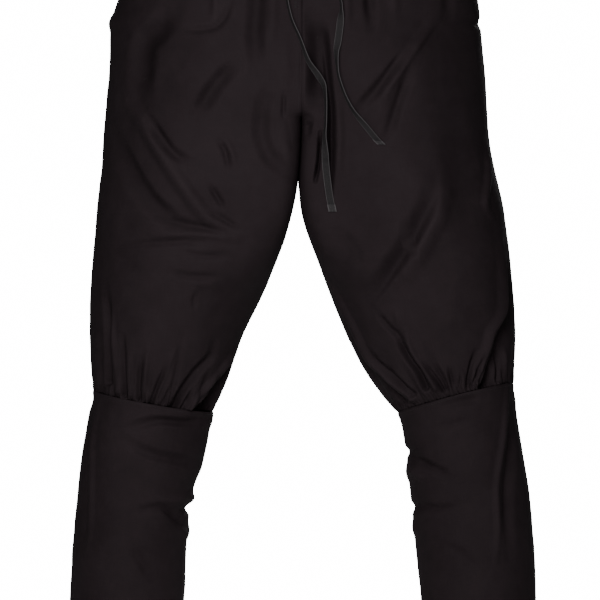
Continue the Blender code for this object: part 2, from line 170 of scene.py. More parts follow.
# The cut, as rings round the body and round each leg, the same as in the part's source.
cut = {
    "wall": 1.6,
    "casingWall": 2.4,
    "crotchDrop": 292.5,
    "innerFullness": {front: 9.0, back: 1.6},  # how much squarer the thighs are where they meet
    "innerDrops": (200, 286, 370, 520),
    "flankFlatness": {right: 0.12, left: 0.3},  # how much flatter the hips' flanks are in front
    "flankDrops": (100, 200, 330, 480),
    "rounding": 26,                # how far up and down the rings are averaged
    "columns": 168,
    "columnCrowding": 0.3,         # columns stand closer at the seams
    "lowerColumns": 96,
    "kneeBlend": (430, 600),
    "rowSteps": ((36, 200, 3.4), (200, 258, 2.8), (258, 330, 1.7), (330, 400, 2.8), (400, 560, 3.2),
                 (560, 700, 1.9), (700, 1000, 3.4)),
}
BodyRing = namedtuple("BodyRing", "dropIn dropOut right left front back split power")
LegRing = namedtuple("LegRing", "dropIn dropOut inner outer front back midIn midOut power dip")
body = table(
    BodyRing,
    (36, 36, 183, 177, 112, 106, 0.00, 2.2),
    (80, 80, 205, 199, 125, 126, 0.00, 2.2),
    (140, 140, 229, 220, 136, 146, 0.00, 2.2),
    (165, 163, 239, 221.5, 139, 153, 0.02, 2.2),
    (200, 192, 240, 224, 140, 158, 0.15, 2.2),
    (232, 214, 239.5, 226.5, 139, 158, 0.42, 2.2),
    (260, 236, 241, 229, 136, 154, 0.68, 2.15),
    (280, 255, 242, 230, 132, 149, 0.90, 2.1),
)
upperLeg = {
    right: table(
        LegRing,
        (292.5, 270, 0.15, 243.5, 130, 145, 0, 0, 2.1, 0),
        (310, 288, 0.3, 246, 126, 140, -4, 0, 2.1, 0),
        (330, 309, 1.3, 247.3, 123, 134, -8, 0, 2.1, 0),
        (352, 331, 3, 248.3, 120, 129, -10, 0, 2.1, 0),
        (374, 353, 5.2, 250, 118, 125, -10, 0, 2.1, 0),
        (415, 390, 14, 255, 114, 118, -8, 0, 2.1, 0),
        (465, 438, 31.3, 258.7, 108, 110, -5, 0, 2.1, 0),
        (515, 488, 51.3, 263.5, 101, 101, -2, 0, 2.1, 0),
        (565, 538, 77.5, 265, 93, 93, 0, 0, 2.1, 1),
        (602, 575, 88, 264.5, 87, 87, 2, 2, 2.1, 2),
        (634, 607, 101, 262.5, 81, 82, 3, 3, 2.1, 3),
        (654, 627.5, 112, 261, 73, 76, 4, 4, 2.1, 3),
    ),
    left: table(
        LegRing,
        (292.5, 270, 0.15, 230, 130, 145, 0, 0, 2.1, 0),
        (310, 288, 0.1, 229.5, 126, 140, 4, 0, 2.1, 0),
        (330, 309, -1.5, 232.5, 123, 134, 8, 0, 2.1, 0),
        (352, 331, -3.2, 235.4, 120, 129, 10, 0, 2.1, 0),
        (374, 353, -4.8, 240, 118, 125, 10, 0, 2.1, 0),
        (415, 385, 0.2, 249, 114, 118, 8, 0, 2.1, 0),
        (465, 432, 20, 255.4, 108, 110, 5, 0, 2.1, 0),
        (515, 480, 37.5, 261.5, 101, 101, 3, 0, 2.1, 0),
        (565, 528, 58.8, 265, 94, 93, 2, 0, 2.1, -1),
        (602, 565, 77, 267, 87, 87, 3, 3, 2.1, -3),
        (634, 597, 99, 265.5, 81, 82, 3, 3, 2.1, -5),
        (655.6, 618.8, 120, 263.5, 73, 76, 4, 4, 2.1, -5),
    ),
}
lowerLeg = {
    right: table(
        LegRing,
        (654, 627.5, 112, 261, 73, 76, 4, 4, 2.1, 3),
        (690, 664, 117.5, 267.3, 72, 79, 5, 5, 2.1, 2),
        (740, 715, 128.8, 276.3, 70, 80, 6, 6, 2.05, 0),
        (790, 765, 143, 281.3, 67, 76, 7, 7, 2.05, 0),
        (840, 815, 145, 286.3, 66, 71, 8, 8, 2, 0),
        (889, 865, 147.5, 288.8, 64, 67, 8, 8, 2, 0),
        (1000, 978, 155, 295, 60, 61, 8, 8, 2, 0),
    ),
    left: table(
        LegRing,
        (655.6, 618.8, 120, 263.5, 73, 76, 4, 4, 2.1, -5),
        (690, 655, 129, 267.5, 72, 79, 5, 5, 2.1, -3),
        (740, 706, 133.5, 275.7, 70, 80, 6, 6, 2.05, 0),
        (790, 757, 138.8, 284, 67, 76, 7, 7, 2.05, 0),
        (840, 808, 143.8, 289.3, 66, 71, 8, 8, 2, 0),
        (889, 858, 148.8, 291.2, 64, 67, 8, 8, 2, 0),
        (1000, 972, 156, 296, 60, 61, 8, 8, 2, 0),
    ),
}

# Gathers above the knee seam, outer seam to inseam: degrees of the half round, how far each runs
# up the leg, and its depth.
Gather = namedtuple("Gather", "width reach depth")
gathers = {
    (right, front): table(
        Gather,
        (24, 62, 2.0), (21, 112, 2.5), (18, 76, 3.0), (15, 58, 2.5),
        (12, 44, 2.5), (10, 38, 2.5), (9, 98, 2.5), (9, 36, 2.0),
        (10, 42, 2.5), (12, 60, 2.5), (16, 66, 4.0), (24, 84, 4.0),
    ),
    (left, front): table(
        Gather,
        (25, 60, 3.0), (21, 48, 3.0), (15, 40, 2.5), (11, 52, 2.5),
        (10, 34, 2.0), (10, 38, 2.5), (11, 90, 2.5), (12, 44, 2.0),
        (13, 62, 2.5), (14, 78, 2.5), (16, 64, 2.5), (22, 84, 2.5),
    ),
    (right, back): table(
        Gather,
        (20, 70, 4.5), (16, 54, 5.5), (14, 96, 6.5), (12, 46, 4.5),
        (13, 62, 5.5), (11, 40, 4.5), (14, 104, 6.5), (12, 50, 5.0),
        (15, 72, 6.0), (14, 46, 4.5), (17, 90, 6.0), (22, 64, 4.0),
    ),
    (left, back): table(
        Gather,
        (22, 66, 4.5), (15, 84, 6.0), (12, 48, 5.0), (14, 58, 5.5),
        (11, 100, 6.0), (13, 44, 4.5), (12, 68, 5.5), (15, 92, 6.5),
        (13, 42, 4.5), (16, 76, 6.0), (15, 52, 5.0), (22, 70, 4.0),
    ),
}

# Folds and creases, drawn from the top down or from the viewer's left, with a width on the near
# side (left of the line, or below it) and on the far side, and a push at the start and the end.
Crease = namedtuple("Crease", "points near far start end")
creases = {}
creases["upper", right, front] = table(
    Crease,
    (((-213, 270), (-152, 367), (-114, 415), (-78, 434)), 13, 14, 3.5, 4.5),
    (((-235, 305), (-188, 388), (-147, 424)), 20, 12, -3, -6),
    (((-188, 294), (-174, 317), (-157, 336), (-132, 349)), 8, 10, -6, -2),
    (((-81, 224), (-108, 253), (-130, 288)), 12, 16, -5, -5),
    (((-102, 321), (-94, 335), (-91, 354)), 4, 6, -3, -4),
    (((-94, 319), (-86, 334), (-82, 351)), 5, 6, 2, 1.5),
    (((-113, 376), (-105, 388), (-97, 402)), 4, 6, -4, -3.5),
    (((-117, 407), (-98, 416), (-78, 428)), 4, 6, -2, -4),
    (((-33, 250), (-48, 280), (-50, 306), (-42, 334), (-27, 351), (-12, 362)), 15, 13, -2, -4.5),
    (((-22, 261), (-23, 292)), 4, 4, -1.5, -2),
    (((-27, 290), (-23, 318), (-17, 343)), 10, 10, 1, 1.5),
    (((-174, 416), (-131, 424), (-95, 432)), 6, 7, -2, -3.5),
    (((-225, 450), (-186, 445), (-164, 444), (-108, 440)), 6, 7, -2, -3.5),
    (((-186, 433), (-130, 435), (-81, 439)), 7, 7, 1.5, 2.5),
    (((-144, 456), (-122, 461), (-91, 460)), 6, 6, -2, -3),
    (((-162, 482), (-130, 486), (-98, 486)), 6, 6, -2.5, -2),
    (((-137, 494), (-103, 497)), 5, 5, 1.5, 1),
    (((-128, 504), (-133, 515), (-132, 525)), 4, 5, -1.5, -1.5),
    (((-87, 148), (-93, 165), (-108, 181), (-130, 184), (-154, 182)), 6, 6, -4, -1.5),
    (((-109, 124), (-106, 148), (-108, 173)), 7, 8, 3, 1.5),
    (((-57, 75), (-56, 148), (-58, 192), (-53, 236)), 15, 15, -5, -5),
    (((-36, 87), (-35, 160), (-39, 202)), 9, 9, 1.5, 1.5),
    (((-159, 153), (-172, 177), (-196, 204), (-200, 268)), 20, 22, -5, -8),
    (((-149, 75), (-154, 124)), 10, 10, -2, -2),
    (((-242, 500), (-240, 559), (-241, 614)), 7, 7, -4, -7),
    (((-236, 530), (-231, 590), (-229, 626)), 5, 5, 2, 2.5),
    (((-221, 558), (-221, 596), (-220, 630)), 5, 5, -3, -6),
    (((-213, 579), (-212, 630)), 5, 5, 1.5, 1.5),
    (((-198, 586), (-202, 621), (-201, 635)), 5, 5, -3, -5.5),
    (((-190, 572), (-193, 612), (-192, 635)), 5, 5, 1.5, 2),
    (((-164, 590), (-179, 619), (-187, 640)), 4, 5, -2, -6),
    (((-157, 576), (-173, 612), (-181, 640)), 4, 5, 2, 1.5),
    (((-108, 564), (-110, 580), (-130, 602), (-146, 624), (-160, 646)), 8, 8, -3, -7.5),
    (((-163, 620), (-174, 645)), 3, 3, -2, -4),
    (((-149, 628), (-165, 647)), 3, 3, 1, 1.5),
    (((-137, 628), (-152, 650)), 3, 4, -3, -4),
    (((-76, 571), (-99, 601), (-126, 632), (-142, 652)), 6, 3, 3.5, 2.5),
    (((-70, 579), (-91, 603), (-115, 632), (-133, 653)), 3, 28, -10, -15),
    (((-12, 180), (-8, 221), (-9, 265)), 12, 12, -1, -1.5),
)
creases["upper", right, back] = table(
    Crease,
    (((-205, 250), (-150, 300), (-62, 338)), 18, 14, -3, -6.5),
    (((-214, 300), (-140, 352), (-70, 388)), 14, 16, 3, 4.5),
    (((-40, 190), (-58, 250), (-34, 330)), 12, 14, -3, -6),
    (((-92, 330), (-104, 372), (-84, 420)), 9, 11, -3.5, -4.5),
    (((-238, 500), (-170, 522), (-98, 552)), 10, 13, -4, -5.5),
    (((-232, 470), (-168, 484), (-96, 500)), 11, 9, 1.5, 3),
    (((-158, 398), (-176, 450), (-190, 512)), 13, 18, 4, 3),
    (((-212, 545), (-150, 560)), 6, 7, -2.5, -3),
    (((-116, 96), (-108, 150), (-112, 196)), 8, 10, -3.5, -2),
    (((-64, 60), (-70, 128)), 7, 7, -3, -2),
    (((-170, 70), (-182, 140), (-178, 205)), 11, 12, -3, -2),
)
creases["upper", left, front] = table(
    Crease,
    (((165, 366), (159, 393), (149, 416), (128, 455), (106, 487), (83, 517)), 20, 9, -4, -7),
    (((175, 383), (164, 412), (145, 448), (128, 480)), 9, 20, 3.5, 5),
    (((183, 295), (196, 356), (201, 432)), 30, 26, -2, -4),
    (((130, 209), (100, 246), (68, 283)), 9, 11, -4.5, -4),
    (((165, 168), (139, 204), (105, 257), (95, 290)), 11, 9, 3.5, 2.5),
    (((132, 234), (117, 273), (103, 318)), 8, 11, -4, -3.5),
    (((81, 87), (83, 148), (86, 180)), 10, 10, -3, -5),
    (((110, 99), (115, 173)), 9, 9, 2, 1),
    (((53, 111), (56, 182)), 8, 8, 1.5, 1.5),
    (((169, 87), (181, 148), (179, 173)), 11, 11, -2.5, -2),
    (((231, 322), (230, 363), (226, 393), (235, 413)), 6, 7, 3, 2.5),
    (((248, 432), (251, 478), (252, 522), (245, 543), (236, 557), (231, 576), (223, 598), (215, 623)),
     12, 3, 2, 4),
    (((254, 454), (257, 522), (249, 548), (242, 564), (237, 583), (230, 603), (224, 623)),
     3, 20, -3, -8),
    (((246, 571), (246, 593), (243, 618)), 3, 3, -3, -5),
    (((253, 576), (252, 618)), 3, 3, 2, 2),
    (((225, 586), (218, 606), (210, 626)), 4, 4, -2.5, -5),
    (((214, 581), (208, 603), (205, 626)), 4, 4, -2.5, -4),
    (((29, 481), (46, 517), (64, 550), (84, 591), (111, 618), (137, 641)), 6, 6, 2.5, 4),
    (((38, 515), (57, 557), (76, 593), (103, 620), (126, 643)), 14, 4, -1.5, -5),
    (((78, 576), (93, 596), (115, 617), (136, 637)), 4, 7, -2, -5.5),
    (((92, 532), (105, 548), (120, 563)), 5, 6, -2.5, -3.5),
    (((117, 557), (123, 574), (132, 591), (144, 608), (152, 628)), 6, 6, -6, -7),
    (((126, 554), (136, 581), (153, 609), (164, 630)), 4, 5, 2.5, 2.5),
    (((150, 596), (166, 618), (174, 632)), 4, 4, -2, -5.5),
    (((164, 598), (176, 620), (180, 631)), 3, 4, -1.5, -4.5),
    (((181, 603), (187, 630)), 4, 4, -2, -4.5),
    (((196, 610), (196, 628)), 3, 3, -1.5, -3),
    (((114, 527), (120, 547)), 6, 7, 1, 1),
    (((46, 432), (68, 459), (61, 478)), 12, 12, -2, -2),
    (((17, 168), (21, 222), (20, 276)), 18, 16, -7, -12),
    (((8, 294), (6, 304), (4, 318)), 9, 8, -7, -2),
    (((22, 310), (20, 344), (16, 369)), 3.5, 3.5, -8, -13),
    (((28, 190), (32, 240), (36, 290), (36, 340), (34, 385)), 7, 6, -7, -12),
    (((44, 270), (46, 319), (44, 368)), 7, 8, 2, 1.5),
)
creases["upper", left, back] = table(
    Crease,
    (((60, 330), (118, 304), (196, 256)), 18, 14, -6.5, -3),
    (((76, 380), (140, 350), (208, 296)), 14, 16, 4.5, 3),
    (((36, 196), (54, 262), (36, 330)), 14, 12, -3, -6),
    (((88, 336), (98, 366), (84, 408)), 9, 9, -3.5, -4),
    (((92, 540), (168, 512), (240, 498)), 10, 13, -5.5, -4),
    (((98, 496), (160, 474), (236, 462)), 9, 11, 3, 1.5),
    (((150, 404), (174, 446), (194, 500)), 16, 13, 4, 3),
    (((140, 566), (206, 548)), 6, 7, -3, -2.5),
    (((108, 88), (116, 142), (110, 200)), 8, 10, -3.5, -2),
    (((58, 66), (66, 120)), 7, 7, -3, -2),
    (((168, 64), (176, 138), (182, 196)), 11, 12, -3, -2),
)
creases["lower", right, front] = table(
    Crease,
    (((-223, 675), (-196, 667), (-174, 662), (-142, 665), (-116, 661)), 7, 9, -2, -4),
    (((-228, 667), (-186, 653), (-139, 657)), 6, 6, 1, 1.5),
    (((-220, 687), (-188, 705), (-159, 712), (-127, 718)), 9, 12, -2, -3.5),
    (((-209, 778), (-177, 772), (-159, 784), (-144, 799)), 6, 8, -2, -4),
    (((-186, 760), (-162, 763), (-137, 758)), 7, 7, 1.5, 2.5),
    (((-213, 818), (-198, 840), (-186, 862)), 9, 9, -1.5, -2),
    (((-252, 637), (-262, 697), (-263, 794), (-273, 840)), 4, 6, 2, 1.5),
)
creases["lower", right, back] = table(
    Crease,
    (((-250, 712), (-190, 742), (-140, 762)), 11, 9, -2.5, -4),
    (((-246, 690), (-196, 706), (-136, 714)), 9, 8, 1.5, 2),
    (((-266, 806), (-210, 796), (-156, 812)), 8, 8, -2.5, -3),
    (((-262, 890), (-214, 902), (-168, 896)), 9, 9, -2, -2.5),
)
creases["lower", left, front] = table(
    Crease,
    (((134, 712), (157, 722), (183, 734)), 7, 9, -4.5, -2),
    (((132, 723), (154, 740)), 6, 7, 2.5, 1),
    (((142, 768), (169, 774), (196, 769)), 7, 7, -4, -1),
    (((169, 652), (196, 645), (225, 640)), 8, 10, -1.5, -2.5),
    (((166, 676), (205, 668)), 8, 8, -1, -1.5),
    (((256, 623), (249, 691), (241, 751), (243, 801), (240, 842)), 5, 5, 2.5, 2.5),
    (((263, 637), (259, 698), (253, 760), (256, 833)), 7, 12, -3, -3),
    (((169, 815), (196, 828), (215, 850)), 9, 9, -1.5, -2),
)
creases["lower", left, back] = table(
    Crease,
    (((142, 770), (200, 746), (252, 722)), 11, 9, -4, -2.5),
    (((138, 716), (196, 702), (244, 688)), 8, 9, 2, 1.5),
    (((158, 820), (214, 800), (268, 812)), 8, 8, -3, -2.5),
    (((168, 904), (216, 912), (264, 896)), 9, 9, -2.5, -2),
)

# Bumps and notches of the legs' outlines: the end of the ring (1 outer, -1 inner), drop, half
# height and push.
Bump = namedtuple("Bump", "end drop half push")
bumps = {
    right: table(
        Bump,
        (-1, 748, 26, -3), (-1, 776, 9, -7), (-1, 762, 8, 3), (-1, 804, 14, 3),
        (-1, 664, 14, 2), (1, 168, 14, 3), (1, 640, 16, -2),
    ),
    left: table(
        Bump,
        (-1, 705, 9, -4), (-1, 730, 16, 3), (-1, 774, 9, -4), (-1, 800, 14, 2),
        (1, 170, 9, -3), (1, 640, 14, 1),
    ),
}

relief = {
    "creaseDepth": 1.6,
    "creaseTaper": 0.3,            # share of a crease's length over which it rises
    "creaseEnds": 0.25,            # share of its depth left at an end
    "intoSeam": 600,               # creases that pass this drop run into the knee seam
    "pinch": 0.55,                 # share of a gather's depth left at its seam
    "fullAt": 0.24,
    "ridge": 0.45,
    "waistReach": (50, 150),
    "waistDepth": (1.2, 2.6),
    "waistGathers": 12,
    "waistSeed": 11,
    "puckerSize": 5.5,             # small puckers along the gathered seams
    "puckerDepth": 1.3,
    "puckerReach": (3, 17),
    "puckerWander": (6, 25, 5),    # size round the leg, size up it, and how much
    "kneeRadius": 74,
    "seamCalm": 5,                 # folds fade this near a seam, so that the two panels meet
    "seamBand": 0.4,
    "bandEdge": (5, 8),
    "kneeDip": 0.4,
    "kneeDipHalf": 2.2,
    "seamDip": 0.8,
    "seamDipHalf": 2,
    "seamRidge": 0.8,
    "seamRidgeAt": 4.2,
    "seamRidgeHalf": 3.6,
    "wrinkle": 1.0,
    "wrinkleSize": (42, 55),       # across and down
    "fineShare": 0.4,
    "fineSize": (15, 21),
    "waistCalm": 14,
    "edgeRoll": 0.5,
    "rollReach": 5,
    "tuckedIn": 2.0,               # the top edge goes up inside the casing
    "overlap": 0.8,                # how far the left thigh stands over the right one below the crotch
    "overlapDrops": (284, 292, 372, 384),
    "overlapReach": (6, 20),
    "overlapDeep": 0.35,
    "centreCalm": (2, 30),         # pushes across fade in from the centre line
    "facing": (0.03, 0.25),        # creases fade in from the silhouettes
    "hemRise": (18.5, 21.5),
    "hemStep": 0.7,
}


def eased(spots, values, places):
    # a smooth curve through the values that never overshoots them
    spots, values = np.array(spots, dtype=float), np.array(values, dtype=float)
    steps = np.diff(spots)
    rises = np.diff(values) / steps
    slopes = np.concatenate([rises[:1], np.zeros(len(rises) - 1), rises[-1:]])
    for index in range(1, len(rises)):
        before, after = rises[index - 1], rises[index]
        if before * after > 0:
            first, second = 2 * steps[index] + steps[index - 1], steps[index] + 2 * steps[index - 1]
            slopes[index] = (first + second) / (first / before + second / after)
    index = np.clip(np.searchsorted(spots, places, side="right") - 1, 0, len(steps) - 1)
    part = (places - spots[index]) / steps[index]
    rest = 1 - part
    return (rest ** 2 * ((1 + 2 * part) * values[index] + part * steps[index] * slopes[index])
            + part ** 2 * ((1 + 2 * rest) * values[index + 1] - rest * steps[index] * slopes[index + 1]))


def bodyLegRing(ring, side):
    outer = ring.right if side == right else ring.left
    inner = -outer * (1 - ring.split) / (1 + ring.split)
    return LegRing(ring.dropIn, ring.dropOut, inner, outer, ring.front, ring.back, 0, 0, ring.power, 0)


def upperRings(side):
    return [bodyLegRing(ring, side) for ring in body] + upperLeg[side]


def rowDrops(rings):
    drops = []
    for start, end in zip(rings, rings[1:]):
        step = next(size for low, high, size in cut["rowSteps"] if low <= start.dropIn < high)
        count = max(round((end.dropIn - start.dropIn) / step), 1)
        drops += list(np.linspace(start.dropIn, end.dropIn, count, endpoint=False))
    return np.array(drops + [rings[-1].dropIn])


def ringsAt(rings, drops):
    # one ring with an array in each field, a row of the cloth for each drop
    spots = [ring.dropIn for ring in rings]
    fields = []
    for name, values in zip(LegRing._fields, zip(*rings)):
        reach = np.minimum(np.minimum(drops - spots[0], spots[-1] - drops), cut["rounding"])
        if name == "inner":
            reach = np.minimum(reach, np.abs(drops - cut["crotchDrop"]))
        around = [eased(spots, values, drops + shift * reach) for shift in np.linspace(-1, 1, 9)]
        fields.append(np.mean(around, axis=0)[:, None])
    return LegRing(*fields)


def innerPower(ring, face):
    return ring.power + cut["innerFullness"][face] * within(cut["innerDrops"], ring.dropIn)


def outerPower(ring, side, face):
    less = within(cut["flankDrops"], ring.dropIn)
    return ring.power - cut["flankFlatness"][side] * less * (face == front)


def spanOf(ring):
    # the ring's middle, its half width and the place where its cloth ends
    end = np.where(ring.dropIn >= cut["crotchDrop"], ring.inner, np.maximum(ring.inner, 0.0))
    return (ring.outer + ring.inner) / 2, (ring.outer - ring.inner) / 2, end


def lastTurn(ring, face):
    # the turn at which a body ring meets the centre line
    centre, half, _ = spanOf(ring)
    part = np.clip(centre / half, 0, 1) ** (innerPower(ring, face) / 2)
    whole = (ring.dropIn >= cut["crotchDrop"]) | (centre >= half)
    return np.where(whole, math.pi, math.pi - np.arccos(part))


def panelTurns(ring, side, face, share):
    # the columns keep their distance from the centre line from row to row
    centre, half, end = spanOf(ring)
    opening = smoothStep(body[0].dropIn, cut["crotchDrop"], ring.dropIn)
    spread = (1 - opening) * np.cos(math.pi / 2 * share) + opening * (1 + np.cos(math.pi * share)) / 2
    across = np.clip((end + (ring.outer - end) * spread - centre) / half, -1, 1)
    power = np.where(across > 0, outerPower(ring, side, face), innerPower(ring, face))
    return np.arccos(np.sign(across) * np.abs(across) ** (power / 2))


def creasePush(found, x, drop):
    total = np.zeros(x.shape)
    for crease in found:
        reach = max(crease.near, crease.far)
        count = len(crease.points)
        places = np.linspace(0, count - 1, 3 * (count - 1) + 1 if count > 2 else 2)
        spots = np.stack([eased(range(count), values, places) for values in zip(*crease.points)], axis=-1)
        low, high = spots.min(axis=0) - reach, spots.max(axis=0) + reach
        inside = (x > low[0]) & (x < high[0]) & (drop > low[1]) & (drop < high[1])
        if not inside.any():
            continue
        px, pd = x[inside], drop[inside]
        steps = np.hypot(*np.diff(spots, axis=0).T)
        best = np.full(px.shape, 1e6)
        along, side, passed = np.zeros(px.shape), np.zeros(px.shape), 0.0
        for (x0, drop0), (x1, drop1), size in zip(spots, spots[1:], steps):
            dx, dy = x1 - x0, drop1 - drop0
            share = np.clip(((px - x0) * dx + (pd - drop0) * dy) / size ** 2, 0.0, 1.0)
            away = np.hypot(px - x0 - share * dx, pd - drop0 - share * dy)
            closer = away < best
            best = np.where(closer, away, best)
            along = np.where(closer, (passed + share * size) / steps.sum(), along)
            beside = (dx * (pd - drop0) - dy * (px - x0)) / size
            side = np.where(closer, beside / np.maximum(away, 0.001), side)
            passed += size
        width = crease.far + (crease.near - crease.far) * (1 + side) / 2
        taper = smoothStep(0, relief["creaseTaper"], along)
        if crease.points[-1][1] < relief["intoSeam"] or crease.points[0][1] > relief["intoSeam"]:
            taper = taper * smoothStep(0, relief["creaseTaper"], 1 - along)
        taper = relief["creaseEnds"] + (1 - relief["creaseEnds"]) * taper
        push = crease.start + (crease.end - crease.start) * along
        total[inside] += relief["creaseDepth"] * push * taper * bell(best / width)
    return total


def ringSurface(ring, side, face, turn, relieve):
    # relieve(x, drop, deep, across, seam) gives the push out of the rings at every point
    centre, half, start = spanOf(ring)
    depth = ring.front if face == front else ring.back
    power = np.where(turn < math.pi / 2, outerPower(ring, side, face), innerPower(ring, face))
    across = np.sign(np.cos(turn)) * np.abs(np.cos(turn)) ** (2 / power)
    deep = np.clip(np.sin(turn), 0.0, None) ** (2 / power)
    whole = (ring.dropIn >= cut["crotchDrop"]) & (turn >= 0)
    lean = (ring.dropOut - ring.dropIn) / (ring.outer - start)
    shift = relief["overlap"] * side * (face == front) * smoothStep(0, relief["overlapDeep"], deep)
    shift = shift * within(relief["overlapDrops"], ring.dropIn)
    out = centre + half * across
    out = out - shift * (1 - smoothStep(*relief["overlapReach"], out - ring.inner))
    drop = ring.dropIn + lean * (out - start)
    seam = np.where(whole | (across > 0), depth * deep, np.maximum(out, 0.0))
    push = relieve(side * out, drop, deep, across, seam)
    normalX = np.sign(across) * np.abs(across) ** (power - 1) / half
    normalY = face * deep ** (power - 1) / depth
    size = np.hypot(normalX, normalY)
    out = out + push * normalX / size * smoothStep(*relief["centreCalm"], out)
    out[:, -1:] = np.where(whole[:, -1:], out[:, -1:], 0.0)
    out = np.where(whole, out, np.maximum(out, 0.0))
    forward = np.clip(depth * deep + face * push * normalY / size, 0.0, None)
    drop = ring.dropIn + lean * (out - start) - face * ring.dip * deep
    mid = ring.midOut + (ring.midIn - ring.midOut) * (1 - across) / 2
    return np.stack([side * out, mid + face * forward, -drop], axis=-1) * mm, push


def gatherShape(rise, reach):
    share = rise / reach
    swell = relief["pinch"] + (1 - relief["pinch"]) * smoothStep(0, relief["fullAt"], share)
    return swell * (1 - smoothStep(relief["fullAt"], 1, share))


def gatherPush(found, place, rise):
    # place counts gathers from the outer seam; a ridge is shared by two of them
    depths = np.array([0.0] + [one.depth for one in found] + [0.0])
    reaches = np.array([1.0] + [one.reach for one in found] + [1.0])
    index = np.minimum(place.astype(int), len(found) - 1)
    phase = place - index
    trough = ((1 - np.cos(2 * math.pi * phase)) / 2) ** 1.5
    own = depths[index + 1] * gatherShape(rise, reaches[index + 1])
    beside = index + np.where(phase < 0.5, 0, 2)
    other = depths[beside] * gatherShape(rise, reaches[beside])
    shared = np.where((beside > 0) & (beside <= len(found)), (own + other) / 2, 0.0)
    return relief["ridge"] * shared * (1 - trough) - own * trough


def seamPush(away, face, across):
    # the outer seam is pressed to the front, where it stands a little proud
    push = -relief["seamDip"] * bell(away / relief["seamDipHalf"])
    if face == front:
        ridge = bell((away - relief["seamRidgeAt"]) / relief["seamRidgeHalf"])
        push = push + relief["seamRidge"] * ridge * (across > 0)
    return push


def noiseField(x, y, seed):
    x, y = np.broadcast_arrays(x, y)
    values = [noise.noise(Vector((a, b, seed))) for a, b in zip(x.ravel(), y.ravel())]
    return np.array(values).reshape(x.shape)


def wrinklePush(x, drop, seed):
    wide, long = relief["wrinkleSize"]
    fineWide, fineLong = relief["fineSize"]
    broad = noiseField(x / wide, drop / long, seed)
    fine = noiseField(x / fineWide, drop / fineLong, seed + 7)
    return relief["wrinkle"] * (broad + relief["fineShare"] * fine)


def columnShares(columns):
    share = np.arange(columns + 1)[None, :] / columns
    return share - cut["columnCrowding"] * np.sin(2 * math.pi * share) / (2 * math.pi)


def bumpPush(side, across, drop):
    push = np.zeros(across.shape)
    for bump in bumps[side]:
        facing = np.clip(bump.end * across, 0, None)
        push += bump.push * facing ** 6 * bell((drop - bump.drop) / bump.half)
    return push


def clothSheet(name, points, pushes, wall, face, offset=-1):
    # points holds rows of the cloth; its own map runs across and down in metres
    rows, columns = points.shape[0] - 1, points.shape[1] - 1
    steps = np.linalg.norm(np.diff(points, axis=1), axis=2)
    across = np.concatenate([np.zeros((rows + 1, 1)), np.cumsum(steps, axis=1)], axis=1)
    across -= across[:, columns // 2][:, None]
    falls = np.linalg.norm(np.diff(points[:, columns // 2], axis=0), axis=1)
    down = np.concatenate([[0.0], np.cumsum(falls)])
    mesh = bpy.data.meshes.new(name)
    sheet = bmesh.new()
    bmesh.ops.create_grid(sheet, x_segments=columns, y_segments=rows, size=0.5)
    sheet.to_mesh(mesh)
    sheet.free()
    flat = np.zeros(len(mesh.vertices) * 3)
    mesh.vertices.foreach_get("co", flat)
    column = np.rint((flat[0::3] + 0.5) * columns).astype(int)
    row = np.rint((flat[1::3] + 0.5) * rows).astype(int)
    mesh.vertices.foreach_set("co", points[row, column].ravel())
    # The pushes are kept as the relief attribute, from which the cloth's colour paints shade into creases
    # and hollows and light onto ridges.
    height = mesh.attributes.new("relief", "FLOAT", "POINT")
    height.data.foreach_set("value", pushes[row, column])
    corners = np.zeros(len(mesh.loops), dtype=int)
    mesh.loops.foreach_get("vertex_index", corners)
    cloth = mesh.uv_layers.new(name="cloth")
    places = np.stack([across[row, column], down[row]], axis=-1)
    cloth.data.foreach_set("uv", places[corners].ravel())
    mesh.update()
    if sum(patch.normal.y for patch in mesh.polygons) * face < 0:
        mesh.flip_normals()
    mesh.shade_smooth()
    piece = addObject(name, mesh)
    thickness = piece.modifiers.new("wall", "SOLIDIFY")
    thickness.thickness = wall * mm
    thickness.offset = offset
    return piece


def panelSurface(part, side, face, ring, turn, seed, soft, calm, firm):
    # soft pushes fade towards the panel's seams, and firm ones don't
    def relieve(x, drop, deep, across, seam):
        push = creasePush(creases[part, side, face], x, drop) * smoothStep(*relief["facing"], deep)
        push = push + soft + wrinklePush(x, drop, seed) * calm
        push = push * smoothStep(0, relief["seamCalm"], seam) + seamPush(seam, face, across)
        return push + bumpPush(side, across, drop) + firm

    return ringSurface(ring, side, face, turn, relieve)


